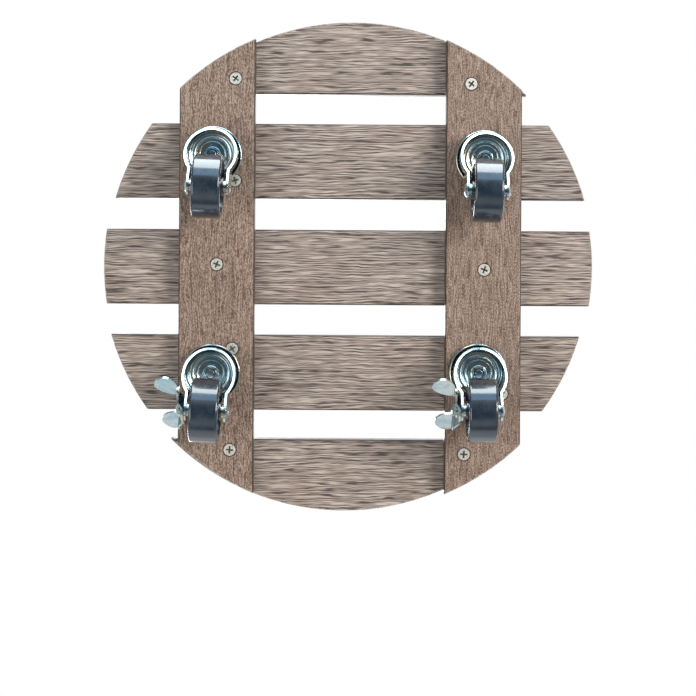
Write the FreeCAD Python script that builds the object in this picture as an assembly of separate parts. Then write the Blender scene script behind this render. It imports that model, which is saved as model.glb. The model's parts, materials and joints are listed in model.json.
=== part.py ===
"""Round slatted plant caddy on four swivel casters, two of them with a side brake.

Millimetres, +Z up. The origin is on the floor under the centre of the disc.
The slats run along Y and the two rails under them run along X.
"""
import math
import os

import FreeCAD
import Part

Vec = FreeCAD.Vector

# --- Deck -----------------------------------------------------------------
DECK_RADIUS = 150.3
RAIL_BOTTOM = 50.8          # height of the casters under load
BOARD_WIDTH = 46.2
BOARD_THICK = 10.6
BOARD_EDGE_R = 1.3
GROOVE_PITCH = 5.6
GROOVE_WIDTH = 1.5
GROOVE_DEPTH = 0.75
GROOVE_COUNT = 8
# Where each slat's centreline lies, and how far along Y it was fitted off centre
SLATS = {
    1: {"x": 129.1, "shift": 2.8},
    2: {"x": 64.6, "shift": 1.0},
    3: {"x": -0.6, "shift": 0.0},
    4: {"x": -65.5, "shift": -1.5},
    5: {"x": -129.7, "shift": -2.5},
}
RAIL_Y = {"front": -80.2, "rear": 82.5}
RAIL_SHIFT = 1.1

RAIL_TOP = RAIL_BOTTOM + BOARD_THICK
SLAT_TOP = RAIL_TOP + BOARD_THICK

# --- Deck screws ----------------------------------------------------------
SCREW_HEAD_R = 3.65
SCREW_HEAD_H = 2.4
SCREW_SHANK_R = 1.9
SCREW_LENGTH = 18.0
SCREW_TIP = 3.0
SCREW_RIM_H = 0.3
SCREW_TURN = 37            # each head stopped at a different angle
SCREW_FLUSH = 0.1           # head sits this far above the rail's underside
CROSS_SPAN = 4.4
CROSS_WIDTH = 1.0
CROSS_DEPTH = 1.9
HOLE_GAP = 0.05
SINK_GAP = 0.6              # the countersink is this much wider than the head
# Where each screw stands in its crossing, from the crossing's centre (x, y)
SCREW_OFFSETS = {
    "front": {1: (-14.8, 11.0), 2: (-12.5, 10.9), 3: (1.5, 0.1), 4: (14.9, 9.8), 5: (17.5, 8.6)},
    "rear": {1: (-17.3, -7.9), 2: (-17.9, 1.6), 3: (-0.9, 0.6), 4: (-11.6, 11.6), 5: (15.6, -11.2)},
}

# --- Kingpin bolts --------------------------------------------------------
BOLT_HEAD_R = 6.0
BOLT_HEAD_H = 2.2
BOLT_R = 3.0
BOLT_NECK = 5.9             # square neck's width across flats
BOLT_NECK_H = 3.0
BOLT_END_R = 2.1
BOLT_END_Z = 39.9

# --- Caster swivel --------------------------------------------------------
COVER_TOP_R = 14.2
COVER_RIM_R = 17.4
COVER_RIM_Z = 46.3
COVER_SHEET = 0.8
COVER_LIP_R = 0.45          # the rim is rolled to a round lip
RACE_R = 13.2
RACE_BOTTOM = 46.6
BALL_R = 1.58
BALL_COUNT = 18
BALL_PITCH_R = 11.7
BALL_Z = 45.55
TRACK_R = BALL_R + 0.06
NUT_FLANGE_R = 6.0
NUT_FLANGE_H = 1.0
NUT_COLLAR_R = 4.8
NUT_COLLAR_H = 1.0
NUT_HUB_R = 3.9
NUT_BOTTOM = 40.4
NUT_CHAMFER = 0.4

# --- Fork -----------------------------------------------------------------
SHEET = 1.2
CROWN_R = 15.8
CROWN_TOP = 44.8
CROWN_SHOULDER_R = 2.6
SKIRT_BOTTOM = 38.0
REAR_BOTTOM = 40.3
LEG_OUTER_Y = 12.3
LEG_END_R = 6.6
LEG_FRONT_X = -6.0          # the flat legs start here, inside the round skirt
CROWN_BORE_R = 3.3
CROWN_BEAD_R = 7.8          # a pressed ring round the nut
CROWN_BEAD_H = 0.6
CROWN_LIP_X = -18.4         # a flat lip at the rear of the crown ends here
CROWN_LIP_HALF = 4.5
TRAIL = 20.4                # axle behind the kingpin, towards -X
AXLE_Z = 19.0

# --- Wheel and axle -------------------------------------------------------
WHEEL_R = 19.0
WHEEL_HALF_WIDTH = 8.5
WHEEL_SHOULDER_R = 1.5
WHEEL_RIM_IN_R = 15.4
WHEEL_HUB_R = 5.6
WHEEL_HUB_HALF = 9.0
WHEEL_DISC_HALF = 5.6
WHEEL_BORE_R = 2.55
AXLE_R = 2.5
AXLE_HEAD_R = 4.6
AXLE_HEAD_H = 1.7
AXLE_END_H = 2.2            # how far a braked caster's axle stands into its domed nut
SPACER_R = 3.9
SPACER_IN_Y = 9.1
RUNNING_GAP = 0.05

# --- Brake lever ----------------------------------------------------------
LEVER_TILT = 49.6           # the lever's long axis, down towards +X
LEVER_SHEET = 1.2
LEVER_IN_Y = 12.6
LEVER_STEP_Y = 15.2
LEVER_BORE_R = 2.6
LEVER_BOSS_R = 6.2
LEVER_BOSS_H = 0.6
LEVER_STEP_FROM = 7.0       # the plate steps outwards between these two stations
LEVER_STEP_TO = 11.5
LEVER_BEND_R = 2.0
LEVER_OUTLINE_REACH = 32.0  # further out than any of its edges
# The plate's smooth outline: along the lever, and across it
LEVER_OUTLINE = [
    (-18.2, 4.8), (-11.8, 4.2), (-6.2, 5.6), (-2.6, 7.6), (2.0, 7.8), (6.5, 6.0), (11.0, 4.7), (16.9, 4.6),
    (18.0, 0.8), (14.6, -2.1), (10.5, -3.8), (6.0, -5.2), (0.0, -6.8), (-5.0, -5.8), (-10.0, -4.9),
    (-15.0, -3.8), (-18.6, -0.8), (-19.5, 2.4),
]
# Each foot pad's leaf outline: along the lever, and how far out from the caster's middle
WING_OUTLINES = {
    "upper": [(-8.8, 14.2), (-9.0, 18.5), (-12.4, 25.2), (-17.2, 26.9), (-22.4, 24.6), (-25.2, 20.0),
              (-23.6, 16.6), (-19.4, 15.0), (-14.0, 13.0)],
    "lower": [(9.6, 14.2), (9.4, 19.0), (12.2, 26.0), (16.8, 29.8), (22.0, 28.2), (24.6, 23.8),
              (22.6, 19.0), (17.0, 15.4), (13.4, 13.0)],
}
WING_V = 4.9                # the pads' upper face, across the lever's long axis
WING_FOOT_V = 2.2           # the bend starts from here on the plate
LEVER_SLOT = {"u": -16.3, "v": 2.7, "long": 3.8, "wide": 1.1}
LEVER_DIMPLE = {"u": 10.4, "v": -1.2, "ball_r": 1.5, "depth": 0.6}
NUT_DOME_R = 4.7
NUT_DOME_H = 3.3
NUT_DOME_RIM = 1.0

# --- Casters: place on the deck, how far each has swivelled at rest, and whether it has a brake
CASTERS = {
    "front_left": {"x": -65.1, "y": -82.6, "turn": 2.9, "braked": True},
    "rear_left": {"x": -64.0, "y": 79.4, "turn": 0.0, "braked": True},
    "front_right": {"x": 67.3, "y": -82.3, "turn": 2.3, "braked": False},
    "rear_right": {"x": 65.8, "y": 82.6, "turn": 1.6, "braked": False},
}


# --- Shape helpers --------------------------------------------------------
def cylinder(radius, low, high, x=0.0, y=0.0):
    """An upright cylinder between two heights."""
    return Part.makeCylinder(radius, high - low, Vec(x, y, low))


def across(radius, low_y, high_y, x=0.0, z=0.0):
    """A cylinder along Y between two stations."""
    return Part.makeCylinder(radius, high_y - low_y, Vec(x, low_y, z), Vec(0, 1, 0))


def block(low, high):
    """A box between two corners."""
    size = Vec(*high) - Vec(*low)
    return Part.makeBox(size.x, size.y, size.z, Vec(*low))


def revolved(profile):
    """A solid of revolution about Z from (radius, height) corners."""
    points = [Vec(r, 0, z) for r, z in profile]
    face = Part.Face(Part.makePolygon(points + points[:1]))
    return face.revolve(Vec(0, 0, 0), Vec(0, 0, 1), 360)


def dome(radius, height):
    """A spherical cap standing on the XY plane."""
    ball_r = (radius ** 2 + height ** 2) / (2 * height)
    ball = Part.makeSphere(ball_r, Vec(0, 0, height - ball_r))
    return ball.common(cylinder(radius + 1, 0, height + 1))


def facing(shape, direction):
    """A shape made along +Z, turned so that it points along -Y or +Y."""
    turned = shape.copy()
    turned.rotate(Vec(0, 0, 0), Vec(1, 0, 0), -90 * direction)
    return turned


def line(a, b):
    return Part.LineSegment(Vec(*a), Vec(*b)).toShape()


def arc(a, middle, b):
    return Part.Arc(Vec(*a), Vec(*middle), Vec(*b)).toShape()


def smooth_face(points):
    """A flat face inside one smooth closed curve."""
    curve = Part.BSplineCurve()
    curve.interpolate(Points=points, PeriodicFlag=True)
    return Part.Face(Part.Wire(curve.toShape()))


def whole(shape):
    """One clean solid."""
    tidy = shape.removeSplitter()
    return tidy.Solids[0] if len(tidy.Solids) == 1 else tidy


def moved(shape, x, y, z=0.0):
    copy = shape.copy()
    copy.translate(Vec(x, y, z))
    return copy


def save(name, shape):
    solids = shape.Solids
    bad = [s for s in solids if not s.isValid()]
    print(name, "solids", len(solids), "volume", round(shape.Volume, 1), "BAD" if bad else "")
    shape.exportStep(f"parts/{name}.step")


# --- Boards ---------------------------------------------------------------
def board_section():
    """The board's section across X, with V grooves in its upper face, as a face at y = 0."""
    half = BOARD_WIDTH / 2
    r = BOARD_EDGE_R
    k = r * (1 - math.sqrt(0.5))
    top = BOARD_THICK
    edges = [
        line((-half + r, 0, 0), (half - r, 0, 0)),
        arc((half - r, 0, 0), (half - k, 0, k), (half, 0, r)),
        line((half, 0, r), (half, 0, top - r)),
        arc((half, 0, top - r), (half - k, 0, top - k), (half - r, 0, top)),
    ]
    outline = [(half - r, 0, top)]
    for i in range(GROOVE_COUNT):
        centre = (GROOVE_COUNT - 1) * GROOVE_PITCH / 2 - i * GROOVE_PITCH
        outline.append((centre + GROOVE_WIDTH / 2, 0, top))
        outline.append((centre, 0, top - GROOVE_DEPTH))
        outline.append((centre - GROOVE_WIDTH / 2, 0, top))
    outline.append((-half + r, 0, top))
    edges += [line(a, b) for a, b in zip(outline, outline[1:])]
    edges += [
        arc((-half + r, 0, top), (-half + k, 0, top - k), (-half, 0, top - r)),
        line((-half, 0, top - r), (-half, 0, r)),
        arc((-half, 0, r), (-half + k, 0, k), (-half + r, 0, 0)),
    ]
    return Part.Face(Part.Wire(edges))


def long_board():
    """A board along Y, longer than the disc, centred on the origin."""
    board = board_section().extrude(Vec(0, 2 * DECK_RADIUS + 20, 0))
    board.translate(Vec(0, -DECK_RADIUS - 10, 0))
    return board


def screw_place(side, number):
    dx, dy = SCREW_OFFSETS[side][number]
    return SLATS[number]["x"] + dx, RAIL_Y[side] + dy


def screw_hole(side, number):
    """The hole that one deck screw cuts through rail and slat."""
    hole = screw_turned(RAIL_BOTTOM - 1, SINK_GAP, HOLE_GAP)
    return moved(hole, *screw_place(side, number))


def kingpin_hole(caster):
    """Round clearance hole through both boards, with a square pocket under the bolt's head."""
    x, y = caster["x"], caster["y"]
    side = BOLT_NECK / 2 + HOLE_GAP
    low = (x - side, y - side, SLAT_TOP - BOLT_NECK_H - HOLE_GAP)
    pocket = block(low, (x + side, y + side, SLAT_TOP + 1))
    return cylinder(BOLT_R + 2 * HOLE_GAP, RAIL_BOTTOM - 1, SLAT_TOP + 1, x, y).fuse(pocket)


def slat(number):
    x = SLATS[number]["x"]
    board = moved(long_board(), x, 0, RAIL_TOP)
    saw = cylinder(DECK_RADIUS, RAIL_TOP - 1, SLAT_TOP + 1, 0, SLATS[number]["shift"])
    cuts = [screw_hole(side, number) for side in RAIL_Y]
    cuts += [kingpin_hole(c) for c in CASTERS.values() if abs(c["x"] - x) < BOARD_WIDTH / 2]
    return whole(board.common(saw).cut(cuts))


def rail(side):
    board = long_board()
    board.rotate(Vec(0, 0, 0), Vec(0, 0, 1), 90)
    board.translate(Vec(0, RAIL_Y[side], RAIL_BOTTOM))
    saw = cylinder(DECK_RADIUS, RAIL_BOTTOM - 1, RAIL_TOP + 1, 0, RAIL_SHIFT)
    cuts = [screw_hole(side, number) for number in SLATS]
    cuts += [kingpin_hole(c) for c in CASTERS.values() if c["y"] * RAIL_Y[side] > 0]
    return whole(board.common(saw).cut(cuts))


def screw_turned(base, head_gap, shank_gap):
    """A countersunk screw's turned form, pointing up from its base; with gaps it is the screw's hole."""
    seat = RAIL_BOTTOM + SCREW_FLUSH
    tip = seat + SCREW_LENGTH + shank_gap
    return revolved([
        (0, base),
        (SCREW_HEAD_R + head_gap, base),
        (SCREW_HEAD_R + head_gap, seat + SCREW_RIM_H),
        (SCREW_SHANK_R + shank_gap, seat + SCREW_HEAD_H),
        (SCREW_SHANK_R + shank_gap, tip - SCREW_TIP),
        (0, tip),
    ])


def deck_screw():
    """One screw with its cross recess, its head flush in the rail's underside."""
    base = RAIL_BOTTOM + SCREW_FLUSH
    shape = screw_turned(base, 0, 0)
    for a, b in ((CROSS_SPAN, CROSS_WIDTH), (CROSS_WIDTH, CROSS_SPAN)):
        shape = shape.cut(block((-a / 2, -b / 2, base - 1), (a / 2, b / 2, base + CROSS_DEPTH)))
    return shape


def rail_screws(side):
    """The five screws of one rail, each turned as it was driven."""
    screws = []
    for number in SLATS:
        screw = deck_screw()
        screw.rotate(Vec(0, 0, 0), Vec(0, 0, 1), SCREW_TURN * number)
        screws.append(moved(screw, *screw_place(side, number)))
    return Part.makeCompound(screws)


# --- Caster, made with its kingpin on the Z axis --------------------------
def kingpin_bolt():
    head = moved(dome(BOLT_HEAD_R, BOLT_HEAD_H), 0, 0, SLAT_TOP)
    half = BOLT_NECK / 2
    neck = block((-half, -half, SLAT_TOP - BOLT_NECK_H), (half, half, SLAT_TOP))
    chamfer = BOLT_R - BOLT_END_R
    shank = revolved([
        (0, BOLT_END_Z),
        (BOLT_END_R, BOLT_END_Z),
        (BOLT_R, BOLT_END_Z + chamfer),
        (BOLT_R, SLAT_TOP),
        (0, SLAT_TOP),
    ])
    return whole(head.fuse([neck, shank]))


def dust_cover():
    """A pressed cone with a rounded rim, open below, clamped under the rail."""
    bore = BOLT_R + 2 * HOLE_GAP
    lip_r = COVER_RIM_R - COVER_LIP_R
    lip_z = COVER_RIM_Z + COVER_LIP_R
    cone = revolved([
        (bore, RAIL_BOTTOM),
        (COVER_TOP_R, RAIL_BOTTOM),
        (lip_r + COVER_LIP_R / 2, lip_z),
        (lip_r - COVER_LIP_R / 2, lip_z),
        (COVER_TOP_R - COVER_SHEET, RAIL_BOTTOM - COVER_SHEET),
        (bore, RAIL_BOTTOM - COVER_SHEET),
    ])
    return whole(cone.fuse(Part.makeTorus(lip_r, COVER_LIP_R, Vec(0, 0, lip_z))))


def ball_track():
    return Part.makeTorus(BALL_PITCH_R, TRACK_R, Vec(0, 0, BALL_Z))


def upper_race():
    """The fixed ring that the balls run under."""
    top = RAIL_BOTTOM - COVER_SHEET
    ring = revolved([
        (BOLT_R + 2 * HOLE_GAP, top),
        (RACE_R - 0.6, top),
        (RACE_R, top - 0.6),
        (RACE_R, RACE_BOTTOM),
        (BALL_PITCH_R - 3.2, RACE_BOTTOM),
        (BALL_PITCH_R - 3.9, RACE_BOTTOM + 1.2),
        (BOLT_R + 2 * HOLE_GAP, RACE_BOTTOM + 1.2),
    ])
    return whole(ring.cut(ball_track()))


def swivel_balls():
    balls = []
    for i in range(BALL_COUNT):
        turn = 2 * math.pi * i / BALL_COUNT
        place = Vec(BALL_PITCH_R * math.cos(turn), BALL_PITCH_R * math.sin(turn), BALL_Z)
        balls.append(Part.makeSphere(BALL_R, place))
    return Part.makeCompound(balls)


def kingpin_nut():
    """A round flanged nut under the crown, stepped down to its hub, threaded on the bolt's end."""
    top = CROWN_TOP - SHEET - 2 * RUNNING_GAP
    bore = BOLT_R + RUNNING_GAP
    flange = top - NUT_FLANGE_H
    collar = flange - NUT_COLLAR_H
    return revolved([
        (bore, top),
        (NUT_FLANGE_R, top),
        (NUT_FLANGE_R, flange),
        (NUT_COLLAR_R, flange),
        (NUT_COLLAR_R - NUT_CHAMFER, collar),
        (NUT_HUB_R, collar),
        (NUT_HUB_R, NUT_BOTTOM + NUT_CHAMFER),
        (NUT_HUB_R - NUT_CHAMFER, NUT_BOTTOM),
        (bore, NUT_BOTTOM),
    ])


def crown_cup(radius, top, shoulder):
    cup = cylinder(radius, 0, top)
    rim = [e for e in cup.Edges if abs(e.BoundBox.ZMin - top) < 0.01 and e.Length > radius]
    return cup.makeFillet(shoulder, rim)


def fork_side():
    """The fork seen from the side: crown, slanted lower edge and rounded leg ends."""
    def tangent_point(corner, turn):
        away = Vec(corner[0] + TRAIL, 0, corner[1] - AXLE_Z)
        angle = math.atan2(away.z, away.x) + turn * math.acos(LEG_END_R / away.Length)
        return angle, (LEG_END_R * math.cos(angle) - TRAIL, 0, LEG_END_R * math.sin(angle) + AXLE_Z)

    front_angle, front = tangent_point((CROWN_R, SKIRT_BOTTOM), -1)
    rear_angle, rear = tangent_point((-CROWN_R, REAR_BOTTOM), 1)
    middle_angle = (front_angle + rear_angle) / 2 - math.pi
    middle = (LEG_END_R * math.cos(middle_angle) - TRAIL, 0, LEG_END_R * math.sin(middle_angle) + AXLE_Z)
    out = CROWN_R + 1
    edges = [
        line((-CROWN_R, 0, REAR_BOTTOM), (-CROWN_R, 0, CROWN_TOP + 1)),
        line((-CROWN_R, 0, CROWN_TOP + 1), (out, 0, CROWN_TOP + 1)),
        line((out, 0, CROWN_TOP + 1), (out, 0, SKIRT_BOTTOM)),
        line((out, 0, SKIRT_BOTTOM), (CROWN_R, 0, SKIRT_BOTTOM)),
        line((CROWN_R, 0, SKIRT_BOTTOM), front),
        arc(front, middle, rear),
        line(rear, (-CROWN_R, 0, REAR_BOTTOM)),
    ]
    side = Part.Face(Part.Wire(edges)).extrude(Vec(0, 4 * LEG_OUTER_Y, 0))
    side.translate(Vec(0, -2 * LEG_OUTER_Y, 0))
    return side


def fork():
    """Pressed from one sheet: a round crown and skirt, pinched in to two flat legs."""
    back = -TRAIL - LEG_END_R - 1
    inner_y = LEG_OUTER_Y - SHEET
    crown_under = CROWN_TOP - SHEET
    outer = crown_cup(CROWN_R, CROWN_TOP, CROWN_SHOULDER_R).fuse(
        block((back, -LEG_OUTER_Y, 0), (LEG_FRONT_X, LEG_OUTER_Y, CROWN_TOP - CROWN_SHOULDER_R)))
    inner = crown_cup(CROWN_R - SHEET, crown_under, CROWN_SHOULDER_R - SHEET).fuse(
        block((back - 1, -inner_y, -1), (LEG_FRONT_X, inner_y, crown_under)))
    shell = outer.cut(inner).common(fork_side())
    under_crown = cylinder(CROWN_R - SHEET, 0, CROWN_TOP - SHEET / 2)
    track = Part.makeTorus(BALL_PITCH_R, TRACK_R + SHEET, Vec(0, 0, BALL_Z)).common(under_crown)
    bead = Part.makeTorus(CROWN_BEAD_R, CROWN_BEAD_H, Vec(0, 0, crown_under)).common(under_crown)
    lip = block((CROWN_LIP_X, -CROWN_LIP_HALF, crown_under), (-BALL_PITCH_R, CROWN_LIP_HALF, CROWN_TOP))
    cuts = [
        ball_track(),
        cylinder(CROWN_BORE_R, 0, CROWN_TOP + 1),
        across(AXLE_R, -CROWN_R, CROWN_R, -TRAIL, AXLE_Z),
    ]
    return whole(shell.fuse([track, bead, lip]).cut(cuts))


# --- Axle group, made with the axle on the Y axis, then carried to the trail
def at_axle(shape):
    return moved(shape, -TRAIL, 0, AXLE_Z)


def head_at(shape, station, direction):
    """A head made along +Z, stood on the leg or lever at a station along Y."""
    return moved(facing(shape, direction), 0, station)


def axle(braked):
    """A rivet with two domed heads; on a braked caster it has one head and a nut instead."""
    nut_end = -(LEVER_IN_Y + LEVER_SHEET + LEVER_BOSS_H + AXLE_END_H)
    low = nut_end if braked else -LEG_OUTER_Y
    rod = across(AXLE_R, low, LEG_OUTER_Y)
    heads = [head_at(dome(AXLE_HEAD_R, AXLE_HEAD_H), LEG_OUTER_Y, 1)]
    if not braked:
        heads.append(head_at(dome(AXLE_HEAD_R, AXLE_HEAD_H), -LEG_OUTER_Y, -1))
    return at_axle(whole(rod.fuse(heads)))


def wheel_spacers():
    ring = across(SPACER_R, SPACER_IN_Y, LEG_OUTER_Y - SHEET).cut(across(AXLE_R, 0, LEG_OUTER_Y))
    other = ring.copy()
    other.rotate(Vec(0, 0, 0), Vec(0, 0, 1), 180)
    return at_axle(Part.makeCompound([ring, other]))


def wheel():
    """A one-piece moulded wheel with a recessed disc on both sides."""
    s = WHEEL_SHOULDER_R
    k = s * (1 - math.sqrt(0.5))
    r, w = WHEEL_R, WHEEL_HALF_WIDTH
    edges = [
        line((r, 0, -w + s), (r, 0, w - s)),
        arc((r, 0, w - s), (r - k, 0, w - k), (r - s, 0, w)),
    ]
    side = [
        (r - s, w),
        (WHEEL_RIM_IN_R + 0.3, w),
        (WHEEL_RIM_IN_R - 0.3, WHEEL_DISC_HALF + 0.4),
        (WHEEL_RIM_IN_R - 1.1, WHEEL_DISC_HALF),
        (WHEEL_HUB_R + 0.8, WHEEL_DISC_HALF),
        (WHEEL_HUB_R + 0.2, WHEEL_DISC_HALF + 0.6),
        (WHEEL_HUB_R, WHEEL_HUB_HALF),
        (WHEEL_BORE_R, WHEEL_HUB_HALF),
    ]
    upper = [(a, 0, b) for a, b in side]
    lower = [(a, 0, -b) for a, b in reversed(side)]
    run = upper + lower
    edges += [line(a, b) for a, b in zip(run, run[1:])]
    edges.append(arc((r - s, 0, -w), (r - k, 0, -w + k), (r, 0, -w + s)))
    turned = Part.Face(Part.Wire(edges)).revolve(Vec(0, 0, 0), Vec(0, 0, 1), 360)
    return at_axle(facing(turned, 1))


# --- Brake lever: u along its length, v across it, thickness towards -Y ---
def lever_plate():
    """The plate: close to the leg in the middle, stepped out along both arms, with a smooth outline."""
    near = LEVER_IN_Y
    far = LEVER_STEP_Y
    out = LEVER_OUTLINE_REACH
    inner = [
        (-out, far),
        (-LEVER_STEP_TO, far),
        (-LEVER_STEP_FROM, near),
        (LEVER_STEP_FROM, near),
        (LEVER_STEP_TO, far),
        (out, far),
    ]
    outer = [(u, y + LEVER_SHEET) for u, y in reversed(inner)]
    points = [Vec(u, -y, -out) for u, y in inner + outer]
    sheet = Part.Face(Part.makePolygon(points + points[:1])).extrude(Vec(0, 0, 2 * out))
    outline = smooth_face([Vec(u, 0, v) for u, v in LEVER_OUTLINE])
    return sheet.common(outline.extrude(Vec(0, -out, 0)))


def wing(name):
    """One foot pad, bent square out of the arm's upper edge, with a leaf outline."""
    r = LEVER_BEND_R
    t = LEVER_SHEET
    y0 = LEVER_STEP_Y
    out = LEVER_OUTLINE_REACH
    k = math.sqrt(0.5)
    section = Part.Wire([
        line((0, -y0, WING_FOOT_V), (0, -y0, WING_V - r)),
        arc((0, -y0, WING_V - r), (0, -y0 - r + r * k, WING_V - r + r * k), (0, -y0 - r, WING_V)),
        line((0, -y0 - r, WING_V), (0, -out, WING_V)),
        line((0, -out, WING_V), (0, -out, WING_V - t)),
        line((0, -out, WING_V - t), (0, -y0 - r, WING_V - t)),
        arc((0, -y0 - r, WING_V - t), (0, -y0 - r + (r - t) * k, WING_V - r + (r - t) * k),
            (0, -y0 - t, WING_V - r)),
        line((0, -y0 - t, WING_V - r), (0, -y0 - t, WING_FOOT_V)),
        line((0, -y0 - t, WING_FOOT_V), (0, -y0, WING_FOOT_V)),
    ])
    bent = Part.Face(section).extrude(Vec(2 * out, 0, 0))
    bent.translate(Vec(-out, 0, 0))
    leaf = smooth_face([Vec(u, -y, 0) for u, y in WING_OUTLINES[name]])
    return bent.common(leaf.extrude(Vec(0, 0, WING_V + 1)))


def brake_lever():
    """A pressed plate that rocks on the axle, with a foot pad at each end."""
    boss = Part.makeCone(LEVER_BOSS_R, LEVER_BOSS_R - LEVER_BOSS_H, LEVER_BOSS_H)
    boss = head_at(boss, -LEVER_IN_Y - LEVER_SHEET, -1)
    shape = lever_plate().fuse([boss, wing("upper"), wing("lower")])
    half_long = LEVER_SLOT["long"] / 2
    half_wide = LEVER_SLOT["wide"] / 2
    low = (LEVER_SLOT["u"] - half_long, -LEVER_OUTLINE_REACH, LEVER_SLOT["v"] - half_wide)
    high = (LEVER_SLOT["u"] + half_long, 0, LEVER_SLOT["v"] + half_wide)
    face_y = LEVER_STEP_Y + LEVER_SHEET
    ball_y = face_y + LEVER_DIMPLE["ball_r"] - LEVER_DIMPLE["depth"]
    dimple = Part.makeSphere(LEVER_DIMPLE["ball_r"], Vec(LEVER_DIMPLE["u"], -ball_y, LEVER_DIMPLE["v"]))
    bore = across(LEVER_BORE_R, -LEVER_OUTLINE_REACH, 0)
    shape = whole(shape.cut([block(low, high), dimple, bore]))
    shape.rotate(Vec(0, 0, 0), Vec(0, 1, 0), LEVER_TILT)
    return at_axle(shape)


def axle_nut():
    """The domed nut that holds the lever on the axle."""
    seat = LEVER_IN_Y + LEVER_SHEET + LEVER_BOSS_H + 2 * RUNNING_GAP
    rim = cylinder(NUT_DOME_R, 0, NUT_DOME_RIM)
    cap = dome(NUT_DOME_R - NUT_CHAMFER, NUT_DOME_H - NUT_DOME_RIM)
    shape = whole(rim.fuse(moved(cap, 0, 0, NUT_DOME_RIM)))
    shape = shape.cut(cylinder(AXLE_R + RUNNING_GAP, -1, AXLE_END_H + RUNNING_GAP))
    return at_axle(head_at(shape, -seat, -1))


# --- The whole caddy ------------------------------------------------------
def build_deck():
    for number in SLATS:
        save(f"slat_{number}", slat(number))
    for side in RAIL_Y:
        save(f"rail_{side}", rail(side))
        save(f"screws_{side}", rail_screws(side))


def build_casters():
    fixed = {
        "kingpin_bolt": kingpin_bolt(),
        "dust_cover": dust_cover(),
        "upper_race": upper_race(),
        "kingpin_nut": kingpin_nut(),
    }
    swivelling = {
        "swivel_balls": swivel_balls(),
        "fork": fork(),
        "wheel_spacers": wheel_spacers(),
        "wheel": wheel(),
    }
    free = {"axle": axle(False)}
    brake = {"axle": axle(True), "brake_lever": brake_lever(), "axle_nut": axle_nut()}
    for place, caster in CASTERS.items():
        for name, shape in fixed.items():
            save(f"{name}_{place}", moved(shape, caster["x"], caster["y"]))
        ends = brake if caster["braked"] else free
        for name, shape in (swivelling | ends).items():
            turned = shape.copy()
            turned.rotate(Vec(0, 0, 0), Vec(0, 0, 1), caster["turn"])
            save(f"{name}_{place}", moved(turned, caster["x"], caster["y"]))


os.makedirs("parts", exist_ok=True)
build_deck()
build_casters()
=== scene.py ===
"""The looks of a round slatted plant caddy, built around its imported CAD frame. Metres, +Z up."""
import json
import math

import bpy
from mathutils import Matrix, Vector


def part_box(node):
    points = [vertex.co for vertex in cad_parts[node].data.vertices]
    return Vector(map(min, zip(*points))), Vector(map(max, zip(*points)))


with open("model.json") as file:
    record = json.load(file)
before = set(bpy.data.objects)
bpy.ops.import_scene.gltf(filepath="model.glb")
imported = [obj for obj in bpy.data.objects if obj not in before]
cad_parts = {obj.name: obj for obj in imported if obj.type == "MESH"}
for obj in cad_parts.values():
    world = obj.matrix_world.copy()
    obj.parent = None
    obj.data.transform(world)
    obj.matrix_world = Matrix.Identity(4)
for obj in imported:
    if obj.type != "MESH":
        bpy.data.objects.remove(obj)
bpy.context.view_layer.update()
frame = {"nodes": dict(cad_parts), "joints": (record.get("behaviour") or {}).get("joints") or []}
MM = 0.001

# --- Names and sizes from the frame ---------------------------------------
RAILS = ["rail_front", "rail_rear"]
CASTERS = ["front_left", "rear_left", "front_right", "rear_right"]
BRAKED = ["front_left", "rear_left"]
SLAT_LOW, SLAT_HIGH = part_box("slat_3")
RAIL_LOW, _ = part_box("rail_front")
JOINTS = {joint["name"]: joint for joint in frame["joints"]}

# The boards' ends follow one circle, whose centre is this far off along Y on each of them
BOARD_RADIUS = SLAT_HIGH.y
SLAT_SHIFTS = {
    "slat_1": 2.8 * MM, "slat_2": 1.0 * MM, "slat_3": 0.0, "slat_4": -1.5 * MM, "slat_5": -2.5 * MM,
}
RAIL_SHIFT = 1.1 * MM


def rgb(red, green, blue):
    """A screen colour, 0 to 255, as the linear colour that a shader takes."""
    def linear(value):
        part = value / 255
        return part / 12.92 if part <= 0.04045 else ((part + 0.055) / 1.055) ** 2.4
    return (linear(red), linear(green), linear(blue), 1.0)


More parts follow.
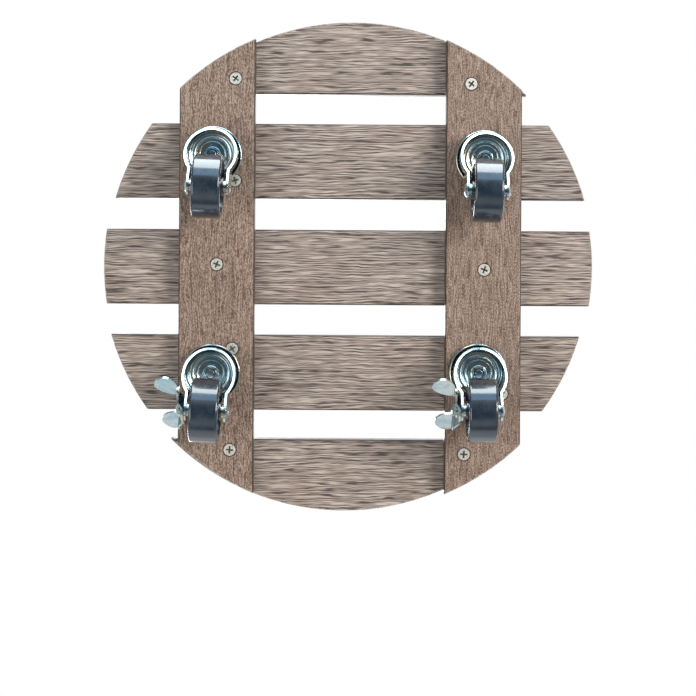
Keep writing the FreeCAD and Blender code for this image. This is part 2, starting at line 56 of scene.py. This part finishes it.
# --- Materials ------------------------------------------------------------
class Shade:
    """One procedural material. Each method adds a node and gives back its output."""

    def __init__(self, name, **sockets):
        self.material = bpy.data.materials.new(name)
        self.material.use_nodes = True
        self.tree = self.material.node_tree
        self.bsdf = self.tree.nodes["Principled BSDF"]
        for socket, value in sockets.items():
            self.bsdf.inputs[socket.replace("_", " ")].default_value = value

    def put(self, socket, value):
        if isinstance(value, bpy.types.NodeSocket):
            self.tree.links.new(value, socket)
        else:
            socket.default_value = value

    def set(self, socket, value):
        self.put(self.bsdf.inputs[socket], value)

    def add(self, kind, inputs, output=0, **settings):
        node = self.tree.nodes.new(kind)
        for key, value in settings.items():
            setattr(node, key, value)
        for key, value in inputs.items():
            self.put(node.inputs[key], value)
        return node.outputs[output]

    def math(self, operation, a, b=0.0, clamp=False):
        return self.add("ShaderNodeMath", {0: a, 1: b}, operation=operation, use_clamp=clamp)

    def place(self):
        """The point's place in the object's frame, in metres."""
        return self.add("ShaderNodeTexCoord", {}, "Object")

    def normal(self):
        return self.add("ShaderNodeTexCoord", {}, "Normal")

    def split(self, vector):
        node = self.tree.nodes.new("ShaderNodeSeparateXYZ")
        self.put(node.inputs[0], vector)
        return node.outputs[0], node.outputs[1], node.outputs[2]

    def join(self, x, y, z):
        return self.add("ShaderNodeCombineXYZ", {0: x, 1: y, 2: z})

    def noise(self, vector, size, detail=2.0, roughness=0.5):
        """Noise whose patches are about this size, in metres."""
        inputs = {"Vector": vector, "Scale": 1 / size, "Detail": detail, "Roughness": roughness}
        return self.add("ShaderNodeTexNoise", inputs, 0)

    def band(self, value, low, high, start=0.0, end=1.0):
        """Maps a stretch of values smoothly onto another."""
        inputs = {0: value, 1: low, 2: high, 3: start, 4: end}
        return self.add("ShaderNodeMapRange", inputs, interpolation_type="SMOOTHSTEP")

    def ramp(self, factor, stops):
        node = self.tree.nodes.new("ShaderNodeValToRGB")
        self.put(node.inputs[0], factor)
        marks = node.color_ramp.elements
        while len(marks) < len(stops):
            marks.new(0.5)
        for mark, (position, colour) in zip(marks, stops):
            mark.position = position
            mark.color = colour
        return node.outputs[0]

    def mix(self, factor, a, b, blend="MIX"):
        node = self.tree.nodes.new("ShaderNodeMix")
        node.data_type = "RGBA"
        node.blend_type = blend
        self.put(node.inputs[0], factor)
        self.put(node.inputs[6], a)
        self.put(node.inputs[7], b)
        return node.outputs[2]

    def lerp(self, factor, a, b):
        """The same for plain numbers."""
        return self.add("ShaderNodeMix", {0: factor, 2: a, 3: b}, data_type="FLOAT")

    def soft_edges(self, radius):
        """A normal that rounds off the corners, as tumbling and plating leave them."""
        return self.add("ShaderNodeBevel", {"Radius": radius}, samples=4)

    def bump(self, height, depth, strength=1.0, normal=None):
        inputs = {"Height": height, "Distance": depth, "Strength": strength}
        if normal is not None:
            inputs["Normal"] = normal
        return self.add("ShaderNodeBump", inputs)


# How each board is brushed. A pair is the size of a patch across the board, and how many times longer
# it is along it. The drift shifts the lines sideways by up to drift_lines times their pitch.
BOARD_LOOKS = {
    "slat": {
        "pitch": 1.75 * MM, "drift": (2.5 * MM, 15.0), "drift_lines": 2.6, "dash": (1.2 * MM, 8.0),
        "fibre": (0.5 * MM, 16.0), "fibre_share": 0.3, "wander": 1.2 * MM,
        "relief": 0.25 * MM, "warmth": 0.4,
        "colours": [rgb(70, 60, 53), rgb(136, 120, 109), rgb(161, 145, 133), rgb(195, 180, 167)],
    },
    "rail": {
        "pitch": 1.6 * MM, "drift": (2.4 * MM, 9.0), "drift_lines": 4.0, "dash": (1.1 * MM, 10.0),
        "fibre": (0.45 * MM, 2.5), "fibre_share": 0.55, "wander": 0.75 * MM,
        "relief": 0.2 * MM, "warmth": 0.25,
        "colours": [rgb(84, 63, 49), rgb(122, 98, 82), rgb(143, 119, 102), rgb(172, 149, 132)],
    },
}
SKIN = rgb(78, 57, 43)
SKIN_LIGHT = rgb(98, 74, 58)
SKIN_FLECK = rgb(176, 150, 128)
# painted shade for the sloped walls of grooves and countersinks
PAINTED_GROOVE_SHADE = rgb(44, 35, 29)
WARM_TINT = rgb(176, 138, 112)
CUT = [rgb(110, 98, 88), rgb(164, 154, 143), rgb(204, 199, 188)]


def brushed_grain(shade, look, across, along, seed):
    """Close lines of light and dark that drift, fork and come and go, with finer fibres between them."""
    bend = shade.noise(shade.join(shade.math("MULTIPLY", across, 0.8), along, seed), 7 * MM)
    bent = shade.math("ADD", across, shade.math("MULTIPLY", bend, look["wander"]))

    def streaks(size_and_stretch):
        size, stretch = size_and_stretch
        long_way = shade.math("DIVIDE", along, stretch)
        return shade.noise(shade.join(bent, long_way, seed), size, 0.0)

    drift = shade.math("MULTIPLY", streaks(look["drift"]), look["drift_lines"])
    cycles = shade.math("ADD", shade.math("DIVIDE", bent, look["pitch"]), drift)
    line = shade.math("SINE", shade.math("MULTIPLY", cycles, 2 * math.pi))
    line = shade.math("MULTIPLY", line, shade.band(streaks(look["dash"]), 0.35, 0.6, 0.2, 0.58))
    fibre = shade.band(streaks(look["fibre"]), 0.25, 0.75, -0.5, 0.5)
    return shade.math("ADD", shade.lerp(look["fibre_share"], line, fibre), 0.5)


def face_colour(shade, look, grain, flat, seed):
    """The brushed faces, warmer in patches, with painted shade on the sloped walls of grooves and
    countersinks.
    """
    dark, mid, light, pale = look["colours"]
    colour = shade.ramp(grain, [(0.12, dark), (0.38, mid), (0.6, light), (0.88, pale)])
    x, y, _ = shade.split(shade.place())
    patch = shade.noise(shade.join(x, y, seed), 38 * MM, 2.0)
    warm = shade.mix(0.5, colour, WARM_TINT, "MULTIPLY")
    colour = shade.mix(shade.band(patch, 0.35, 0.75, 0.0, look["warmth"]), colour, warm)
    # painted shade: the sloped walls of grooves and countersinks are darkened where shade falls
    slope = shade.math("MULTIPLY", shade.band(flat, 0.93, 0.85), shade.band(flat, 0.3, 0.5))
    return shade.mix(shade.math("MULTIPLY", slope, 0.9), colour, PAINTED_GROOVE_SHADE)


def side_colour(shade, lines):
    """The smooth, flecked skin that the board was extruded with."""
    colour = shade.mix(shade.band(lines, 0.35, 0.7), SKIN, SKIN_LIGHT)
    fleck = shade.band(shade.noise(shade.place(), 0.9 * MM, 0.0), 0.76, 0.8)
    return shade.mix(fleck, colour, SKIN_FLECK)


def sawn_end(shade, shift):
    """Where the board was sawn across, with an edge that has chipped here and there."""
    x, y, _ = shade.split(shade.place())
    spot = shade.join(x, shade.math("SUBTRACT", y, shift), 0.0)
    from_centre = shade.add("ShaderNodeVectorMath", {0: spot}, "Value", operation="LENGTH")
    chips = shade.noise(shade.place(), 1.3 * MM, 2.0, 0.6)
    deep = shade.band(chips, 0.45, 0.8, 0.0, 1.3 * MM)
    edge = shade.math("SUBTRACT", BOARD_RADIUS - 0.35 * MM, deep)
    return shade.math("GREATER_THAN", from_centre, edge)


def end_colour(shade, speckle):
    """Sawn wood and plastic, in thin layers and specks."""
    x, y, z = shade.split(shade.place())
    spot = shade.join(shade.math("DIVIDE", x, 5.0), shade.math("DIVIDE", y, 5.0), z)
    layers = shade.noise(spot, 0.8 * MM, 3.0)
    mixed = shade.lerp(0.55, layers, speckle)
    return shade.ramp(mixed, [(0.36, CUT[0]), (0.5, CUT[1]), (0.64, CUT[2])])


def board_material(node, along_y, shift, seed):
    """A wood-plastic board: brushed faces, smooth dark sides and speckled sawn ends."""
    look = BOARD_LOOKS["slat" if along_y else "rail"]
    shade = Shade("board_" + node)
    x, y, z = shade.split(shade.place())
    across, along = (x, y) if along_y else (y, x)
    _, _, up = shade.split(shade.normal())
    flat = shade.math("ABSOLUTE", up)
    on_side = shade.band(flat, 0.45, 0.25)
    sawn = sawn_end(shade, shift)

    grain = brushed_grain(shade, look, across, along, seed)
    lines = shade.noise(shade.join(z, shade.math("DIVIDE", along, 60.0), across), 0.6 * MM, 2.0)
    speckle = shade.noise(shade.place(), 0.45 * MM, 3.0, 0.7)
    face = face_colour(shade, look, grain, flat, seed)
    colour = shade.mix(on_side, face, side_colour(shade, lines))
    shade.set("Base Color", shade.mix(sawn, colour, end_colour(shade, speckle)))

    relief = shade.lerp(sawn, shade.lerp(on_side, grain, shade.math("MULTIPLY", lines, 0.12)), speckle)
    shade.set("Normal", shade.bump(relief, look["relief"], 0.9))
    polish = shade.lerp(on_side, shade.band(grain, 0.3, 0.7, 0.7, 0.5), 0.42)
    shade.set("Roughness", shade.lerp(sawn, polish, 0.85))
    return shade.material


ZINC_TINTS = [rgb(190, 216, 224), rgb(220, 230, 228), rgb(234, 224, 204)]
ZINC_DULL = rgb(116, 124, 128)
# painted shade: the colour the zinc takes in its shaded recesses
PAINTED_RECESS_SHADE = rgb(30, 34, 38)


def zinc_material(name, tone, roughness, seed):
    """Zinc plate with soft mottling, faint blue and straw tints, and painted shade darkening its
    recesses.
    """
    shade = Shade(name, Metallic=1.0)
    x, y, z = shade.split(shade.place())
    spot = shade.join(x, y, shade.math("ADD", z, seed))
    mottle = shade.noise(spot, 4.5 * MM, 3.0, 0.6)
    tint = shade.noise(spot, 11 * MM, 1.0)
    cool, plain, straw = ([tone * part for part in colour[:3]] + [1.0] for colour in ZINC_TINTS)
    colour = shade.mix(shade.band(tint, 0.36, 0.52), cool, plain)
    colour = shade.mix(shade.band(tint, 0.56, 0.7), colour, straw)
    colour = shade.mix(shade.band(mottle, 0.42, 0.72, 0.0, 0.3), colour, ZINC_DULL)
    # painted shade: ambient occlusion darkens the zinc's colour in its recesses and creases
    open_sky = shade.add("ShaderNodeAmbientOcclusion", {"Distance": 6 * MM}, "AO", samples=4)
    colour = shade.mix(shade.band(open_sky, 0.15, 0.6, 0.9, 0.0), colour, PAINTED_RECESS_SHADE)
    shade.set("Base Color", colour)
    shade.set("Roughness", shade.band(mottle, 0.3, 0.7, roughness * 0.75, roughness * 1.35))
    ripple = shade.noise(spot, 3.2 * MM, 2.0)
    shade.set("Normal", shade.bump(ripple, 0.05 * MM, 0.35, shade.soft_edges(0.12 * MM)))
    return shade.material


NICKEL = rgb(230, 226, 214)
NICKEL_DULL = rgb(176, 168, 154)
# painted shade for the bottoms of the screws' cross recesses
NICKEL_RECESS_SHADE = rgb(120, 112, 98)


def screw_material():
    """Nickel-plated screws, with painted shade down in their cross recesses."""
    shade = Shade("screw_nickel", Metallic=1.0)
    _, _, z = shade.split(shade.place())
    # painted shade: the colour darkens the deeper the point lies in the cross recess
    deep = shade.band(z, RAIL_LOW.z + 0.3 * MM, RAIL_LOW.z + 1.2 * MM)
    rub = shade.noise(shade.place(), 0.8 * MM, 3.0, 0.6)
    plate = shade.mix(shade.band(rub, 0.4, 0.7), NICKEL, NICKEL_DULL)
    shade.set("Base Color", shade.mix(deep, plate, NICKEL_RECESS_SHADE))
    shade.set("Roughness", shade.band(rub, 0.3, 0.7, 0.4, 0.6))
    shade.set("Normal", shade.bump(rub, 0.04 * MM, 0.5, shade.soft_edges(0.25 * MM)))
    return shade.material


WHEEL_DARK = rgb(24, 37, 50)
WHEEL_LIGHT = rgb(33, 48, 62)


def wheel_material(place):
    """Glossy moulded plastic, a little wavy, with a faint parting line round the tread."""
    joint = JOINTS["wheel_spin_" + place]
    shade = Shade("wheel_" + place, Coat_Weight=1.0, Coat_Roughness=0.09, Coat_IOR=1.55)
    centre = Vector(joint["pos_m"])
    axis = Vector(joint["axis"]).normalized()
    offset = shade.add("ShaderNodeVectorMath", {0: shade.place(), 1: centre}, operation="SUBTRACT")
    station = shade.add("ShaderNodeVectorMath", {0: offset, 1: axis}, "Value", operation="DOT_PRODUCT")
    seam = shade.band(shade.math("ABSOLUTE", station), 0.12 * MM, 0.3 * MM, 1.0, 0.0)
    haze = shade.noise(shade.place(), 7 * MM, 3.0, 0.6)
    shade.set("Base Color", shade.mix(shade.band(haze, 0.35, 0.7), WHEEL_DARK, WHEEL_LIGHT))
    shade.set("Roughness", shade.band(haze, 0.3, 0.75, 0.2, 0.33))
    flow = shade.noise(shade.place(), 3.5 * MM, 1.0)
    relief = shade.math("ADD", shade.math("MULTIPLY", flow, 0.35), shade.math("MULTIPLY", seam, 0.8))
    shade.set("Normal", shade.bump(relief, 0.05 * MM, 0.5))
    return shade.material


def dress(node, material):
    """Gives a CAD node its material."""
    slots = frame["nodes"][node].material_slots
    if not slots:
        frame["nodes"][node].data.materials.append(material)
    for slot in slots:
        slot.material = material


def dress_boards():
    for number, (node, shift) in enumerate(SLAT_SHIFTS.items()):
        dress(node, board_material(node, along_y=True, shift=shift, seed=0.31 * number))
    for number, node in enumerate(RAILS):
        dress(node, board_material(node, along_y=False, shift=RAIL_SHIFT, seed=2.0 + 0.47 * number))


def dress_casters():
    screws = screw_material()
    for node in ("screws_front", "screws_rear"):
        dress(node, screws)
    bright = zinc_material("zinc_bright", tone=0.95, roughness=0.13, seed=1.3)
    for number, place in enumerate(CASTERS):
        plate = zinc_material("zinc_plate_" + place, tone=0.86, roughness=0.17, seed=0.21 * number)
        for part in ("dust_cover", "upper_race", "fork"):
            dress(f"{part}_{place}", plate)
        for part in ("kingpin_bolt", "kingpin_nut", "swivel_balls", "axle", "wheel_spacers"):
            dress(f"{part}_{place}", bright)
        dress("wheel_" + place, wheel_material(place))
        if place in BRAKED:
            dress("brake_lever_" + place, plate)
            dress("axle_nut_" + place, bright)


# --- Floor, light and camera ----------------------------------------------
FLOOR_SIZE = 6.0
FLOOR_FADE = (0.35, 1.0)        # the distances from the origin between which the floor turns clear


def add_floor():
    """A pale floor that fades into the white surroundings, and that only views from above see."""
    bpy.ops.mesh.primitive_plane_add(size=FLOOR_SIZE, location=(0, 0, 0))
    floor = bpy.context.object
    floor.name = "floor"
    shade = Shade("floor_paint", Roughness=1.0, Specular_IOR_Level=0.0)
    cloud = shade.noise(shade.place(), 0.5, 2.0)
    shade.set("Base Color", shade.mix(cloud, rgb(232, 232, 230), rgb(240, 240, 239)))
    behind = shade.add("ShaderNodeNewGeometry", {}, "Backfacing")
    distance = shade.add("ShaderNodeVectorMath", {0: shade.place()}, "Value", operation="LENGTH")
    hidden = shade.math("MAXIMUM", behind, shade.band(distance, *FLOOR_FADE))
    clear = shade.add("ShaderNodeBsdfTransparent", {})
    seen = shade.add("ShaderNodeMixShader", {0: hidden, 1: shade.bsdf.outputs[0], 2: clear})
    shade.put(shade.tree.nodes["Material Output"].inputs["Surface"], seen)
    floor.data.materials.append(shade.material)
    floor.visible_shadow = False
    floor.visible_diffuse = False
    floor.visible_glossy = False
    floor.visible_transmission = False


# The room's light by height, from straight down (0) to straight up (1)
ROOM = [
    (0.0, (0.07, 0.09, 0.1)), (0.03, (0.12, 0.14, 0.15)), (0.09, (0.6, 0.63, 0.65)),
    (0.16, (0.66, 0.68, 0.69)), (0.22, (0.34, 0.36, 0.37)), (0.27, (0.2, 0.22, 0.23)),
    (0.33, (0.25, 0.26, 0.27)), (0.42, (0.46, 0.48, 0.49)), (0.52, (0.5, 0.52, 0.53)),
    (0.6, (0.36, 0.37, 0.38)), (0.75, (0.7, 0.71, 0.72)), (1.0, (0.95, 0.95, 0.95)),
]
ROOM_LIGHT = 0.9


def add_world():
    """White behind the object, and a studio room of light and dark zones for light and reflections."""
    world = bpy.data.worlds.new("room")
    bpy.context.scene.world = world
    world.use_nodes = True
    tree = world.node_tree
    tree.nodes.clear()
    links = tree.links
    place = tree.nodes.new("ShaderNodeTexCoord")
    split = tree.nodes.new("ShaderNodeSeparateXYZ")
    links.new(place.outputs["Generated"], split.inputs[0])
    grade = tree.nodes.new("ShaderNodeValToRGB")
    marks = grade.color_ramp.elements
    while len(marks) < len(ROOM):
        marks.new(0.5)
    for mark, (position, colour) in zip(marks, ROOM):
        mark.position = position
        mark.color = colour + (1.0,)
    height = tree.nodes.new("ShaderNodeMapRange")
    height.inputs[1].default_value = -1.0
    links.new(split.outputs[2], height.inputs[0])
    links.new(height.outputs[0], grade.inputs[0])
    room = tree.nodes.new("ShaderNodeBackground")
    room.inputs[1].default_value = ROOM_LIGHT
    links.new(grade.outputs[0], room.inputs[0])
    white = tree.nodes.new("ShaderNodeBackground")
    white.inputs[0].default_value = (1, 1, 1, 1)
    white.inputs[1].default_value = 1.0
    path = tree.nodes.new("ShaderNodeLightPath")
    choose = tree.nodes.new("ShaderNodeMixShader")
    links.new(path.outputs["Is Camera Ray"], choose.inputs[0])
    links.new(room.outputs[0], choose.inputs[1])
    links.new(white.outputs[0], choose.inputs[2])
    output = tree.nodes.new("ShaderNodeOutputWorld")
    links.new(choose.outputs[0], output.inputs[0])


def add_lamp(name, place, aim, size, power, colour=(1, 1, 1)):
    """A soft rectangular lamp that the camera doesn't see."""
    light = bpy.data.lights.new(name, "AREA")
    light.shape = "RECTANGLE"
    light.size, light.size_y = size
    light.energy = power
    light.color = colour
    lamp = bpy.data.objects.new(name, light)
    bpy.context.scene.collection.objects.link(lamp)
    lamp.location = place
    lamp.rotation_euler = (Vector(aim) - Vector(place)).to_track_quat("-Z", "Y").to_euler()
    lamp.visible_camera = False
    return lamp


def add_lights():
    centre = (0, 0, 50 * MM)
    add_lamp("under_key", (0.5, 1.5, -1.5), centre, (1.0, 1.0), 42.0)
    add_lamp("under_fill", (-0.4, -1.3, -1.6), centre, (1.4, 1.4), 18.0)
    add_lamp("top_key", (-0.25, -0.35, 1.5), centre, (0.7, 0.7), 15.0)
    add_lamp("top_fill", (0.3, 0.3, 1.2), centre, (1.0, 1.0), 5.0)
    # panels that only shine in glossy things
    panels = [
        add_lamp("front_panel", (0.9, 0.0, -0.05), (0, 0, -0.05), (0.9, 0.66), 15.0, (0.88, 0.97, 1.0)),
        add_lamp("front_low", (0.75, 0.0, -0.55), centre, (1.0, 0.5), 3.5, (0.35, 0.65, 1.0)),
        add_lamp("back_panel", (-0.9, 0.0, 0.1), centre, (1.2, 0.8), 1.5, (0.9, 0.96, 1.0)),
    ]
    for panel in panels:
        panel.visible_diffuse = False


VIEW_WIDTH = 428.8 * MM         # how much the picture spans in the plane of the slats' underside
CAMERA_DROP = 950 * MM          # how far the camera is below the floor
CAMERA_ROLL = math.radians(0.35)
CAMERA_SHIFT = -0.117           # in widths of the picture: the object is in its upper part
SENSOR_WIDTH = 36.0             # in millimetres, as the lens is


def add_camera():
    """Looks straight up at the underside, with +X at the picture's top and +Y on its right."""
    data = bpy.data.cameras.new("camera")
    data.sensor_width = SENSOR_WIDTH
    data.lens = SENSOR_WIDTH * (CAMERA_DROP + SLAT_LOW.z) / VIEW_WIDTH
    data.shift_y = CAMERA_SHIFT
    data.clip_start = 0.01
    camera = bpy.data.objects.new("camera", data)
    bpy.context.scene.collection.objects.link(camera)
    facing = Matrix(((0, 1, 0), (1, 0, 0), (0, 0, -1))).to_4x4()
    camera.matrix_world = (Matrix.Translation((0, 0, -CAMERA_DROP)) @ facing
                           @ Matrix.Rotation(CAMERA_ROLL, 4, "Z"))
    bpy.context.scene.camera = camera


bpy.context.scene.view_settings.view_transform = "Standard"
add_camera()
add_world()
add_floor()
add_lights()
dress_boards()
dress_casters()
